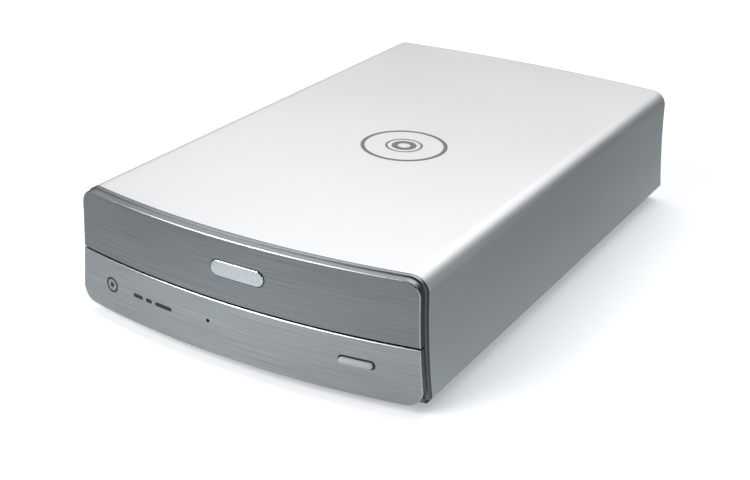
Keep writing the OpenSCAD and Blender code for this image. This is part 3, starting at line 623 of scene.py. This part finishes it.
# --- Underside ---
def crosses_mesh(name, places, z, reach, width):
    """Dark crosses on screw heads that face down at height z, as (x, y) places: painted shade for
    the drivers' recesses.
    """
    bm = bmesh.new()
    for cx, cy in places:
        for long, wide in ((reach, width), (width, reach)):
            bmesh.ops.create_cube(bm, size=1, matrix=Matrix.LocRotScale(
                Vector((cx, cy, z)) * MM, None, Vector((2 * long, 2 * wide, CROSS_T)) * MM))
    return finish_mesh(bm, name)


def plate_mesh(name, low, high, radius):
    """A thin level plate with rounded corners."""
    bm = bmesh.new()
    bottom = []
    for turn, (sx, sy) in enumerate(((1, 1), (-1, 1), (-1, -1), (1, -1))):
        cx = (high.x if sx > 0 else low.x) - sx * radius
        cy = (high.y if sy > 0 else low.y) - sy * radius
        bottom += arc(cx, cy, radius, 90 * turn, 90 * turn + 90, 6)
    loops = [[bm.verts.new(Vector((x, y, z)) * MM) for x, y in bottom] for z in (low.z, high.z)]
    add_rings(bm, loops)
    for loop in loops:
        bm.faces.new(loop)
    return finish_mesh(bm, name)


screw_places = [(sx * x, y) for sx in (1, -1) for x, y in (COVER_SCREW, *DRIVE_SCREWS)]
# Dark crosses on the screw heads, painted shade where their cross recesses are
link("screw_recess_painted_shade",
     crosses_mesh("screw_recess_painted_shade", screw_places, SCREW_HEAD_Z, CROSS_REACH, CROSS_WIDTH),
     [looks["print_and_painted_shade_dark"]], "housing")
label_z = FOOT_H - LABEL_T
link("blank_label",
     plate_mesh("blank_label", Vector((-34, 52, label_z)), Vector((34, 92, FOOT_H)), 2),
     [looks["label_white"]], "housing")
link("blank_label_band",
     plate_mesh("blank_label_band", Vector((-30, 84, label_z - BAND_T)),
                Vector((30, 88, label_z)), 0.8),
     [looks["print_grey"]], "housing")


# --- Stage, lights and camera ---
def fade(tree, value, start, end, low, high):
    """A smooth change from low to high as value goes from start to end."""
    node = tree.nodes.new("ShaderNodeMapRange")
    node.interpolation_type = "SMOOTHSTEP"
    for socket, number in zip(node.inputs[1:5], (start, end, low, high)):
        socket.default_value = number
    tree.links.new(value, node.inputs["Value"])
    return node.outputs["Result"]


def math_node(tree, operation, a, b):
    """The result of an operation on two numbers or sockets."""
    node = tree.nodes.new("ShaderNodeMath")
    node.operation = operation
    for socket, value in zip(node.inputs, (a, b)):
        if isinstance(value, (int, float)):
            socket.default_value = value
        else:
            tree.links.new(value, socket)
    return node.outputs["Value"]


def floor_finish():
    """A white floor that glows a little, and more far off: painted light that lightens its
    shadows. The metal sees it with painted shade instead: dimmer far in front and at both sides
    of the front, and darkest along the right side, a painted shadow of the drive."""
    material = bpy.data.materials.new("floor")
    material.use_nodes = True
    tree = material.node_tree
    tree.nodes.clear()
    add = tree.nodes.new
    path, out, mix, both = (add("ShaderNodeLightPath"), add("ShaderNodeOutputMaterial"),
                            add("ShaderNodeMixShader"), add("ShaderNodeAddShader"))
    dull, white, painted_glow = (add("ShaderNodeBsdfDiffuse"), add("ShaderNodeBsdfDiffuse"),
                         add("ShaderNodeEmission"))
    place, split = add("ShaderNodeTexCoord"), add("ShaderNodeSeparateXYZ")
    wire = tree.links.new
    wire(place.outputs["Object"], split.inputs[0])
    near = fade(tree, split.outputs["Y"], -0.32, -0.17, 0.35, 0.76)
    left = fade(tree, split.outputs["X"], -0.13, -0.02, 0.64, 1)
    front_right = fade(tree, split.outputs["X"], -0.01, 0.10, 1, 0.76)
    # Painted shadow of the drive along its right side, as the metal sees the floor
    right = fade(tree, split.outputs["X"], 0.085, 0.135, 0, 0.85)
    behind = fade(tree, split.outputs["Y"], -0.16, -0.09, 0, 1)
    painted_shadow = math_node(tree, "SUBTRACT", 1, math_node(tree, "MULTIPLY", right, behind))
    cool = add("ShaderNodeVectorMath")
    cool.operation = "SCALE"
    cool.inputs[0].default_value = (0.93, 1.0, 1.05)
    sides = math_node(tree, "MULTIPLY", left, front_right)
    bright = math_node(tree, "MULTIPLY", near, sides)
    wire(math_node(tree, "MULTIPLY", bright, painted_shadow), cool.inputs["Scale"])
    wire(cool.outputs["Vector"], dull.inputs["Color"])
    white.inputs["Color"].default_value = (0.99, 0.99, 0.99, 1)
    # The floor's glow: painted light that lightens its shadows as the camera sees them
    painted_glow.inputs["Color"].default_value = (0.315, 0.33, 0.34, 1)
    reach = add("ShaderNodeVectorMath")
    reach.operation = "LENGTH"
    wire(place.outputs["Object"], reach.inputs[0])
    wire(fade(tree, reach.outputs["Value"], 0.6, 1.6, 1.0, 3.2), painted_glow.inputs["Strength"])
    wire(white.outputs[0], both.inputs[0])
    wire(painted_glow.outputs[0], both.inputs[1])
    wire(path.outputs["Is Camera Ray"], mix.inputs[0])
    wire(dull.outputs[0], mix.inputs[1])
    wire(both.outputs[0], mix.inputs[2])
    wire(mix.outputs[0], out.inputs["Surface"])
    return material


def floor():
    """A floor wide enough to fill every view."""
    bpy.ops.mesh.primitive_plane_add(size=12, location=(0, 0, 0))
    plane = bpy.context.object
    plane.name = "floor"
    plane.data.materials.append(floor_finish())


def softbox(name, bearing, height, power, tall=0.9, color=(1, 1, 1)):
    """A soft light aimed at the drive, at a bearing clockwise from behind it, seen from above."""
    turn, rise = math.radians(bearing), math.radians(height)
    place = LIGHT_DISTANCE * Vector((math.cos(rise) * math.sin(turn),
                                     math.cos(rise) * math.cos(turn), math.sin(rise)))
    data = bpy.data.lights.new(name, "AREA")
    data.shape = "RECTANGLE"
    data.size, data.size_y = 0.9, tall
    data.energy = power
    data.color = color
    lamp = bpy.data.objects.new(name, data)
    lamp.location = place
    lamp.rotation_euler = (-place).to_track_quat("-Z", "Y").to_euler()
    bpy.context.scene.collection.objects.link(lamp)


floor()
softbox("front_left_key", 210, 32, 19.3)
softbox("front_left_low", 225, 12, 2.7, 0.5)
softbox("right_low", 90, 12, 6.5, 0.5, (0.93, 1.0, 1.06))
softbox("right_rear_high", 30, 50, 4.6)
softbox("left_high", 300, 58, 3.4)
softbox("rear_high", 0, 58, 3.0)
softbox("rear", 0, 32, 1.7)
softbox("rear_left", 315, 32, 1.5)
softbox("rear_near_left", 335, 46, 3.2)


def studio_world():
    """A white backdrop that gives no light of its own."""
    world = bpy.data.worlds.new("studio")
    world.use_nodes = True
    tree = world.node_tree
    tree.nodes.clear()
    add, wire = tree.nodes.new, tree.links.new
    path, mix, out = (add("ShaderNodeLightPath"), add("ShaderNodeMixShader"),
                      add("ShaderNodeOutputWorld"))
    wire(path.outputs["Is Camera Ray"], mix.inputs[0])
    for socket, grey in zip(mix.inputs[1:], (0, 1)):
        backdrop = add("ShaderNodeBackground")
        backdrop.inputs["Color"].default_value = (grey, grey, grey, 1)
        wire(backdrop.outputs[0], socket)
    wire(mix.outputs[0], out.inputs["Surface"])
    bpy.context.scene.world = world


studio_world()

CAMERA_AT = Vector((0.2704, -0.5000, 0.2641))
CAMERA_TARGET = Vector((0.0103, -0.0415, 0.0221))
CAMERA_ROLL = math.radians(1.94)
lens = bpy.data.cameras.new("camera")
lens.sensor_width = 36
lens.lens = 63.79
camera = bpy.data.objects.new("camera", lens)
aim = (CAMERA_TARGET - CAMERA_AT).to_track_quat("-Z", "Y").to_matrix().to_4x4()
camera.matrix_world = Matrix.Translation(CAMERA_AT) @ aim @ Matrix.Rotation(CAMERA_ROLL, 4, "Z")
bpy.context.scene.collection.objects.link(camera)
bpy.context.scene.camera = camera
bpy.context.scene.view_settings.view_transform = "Standard"
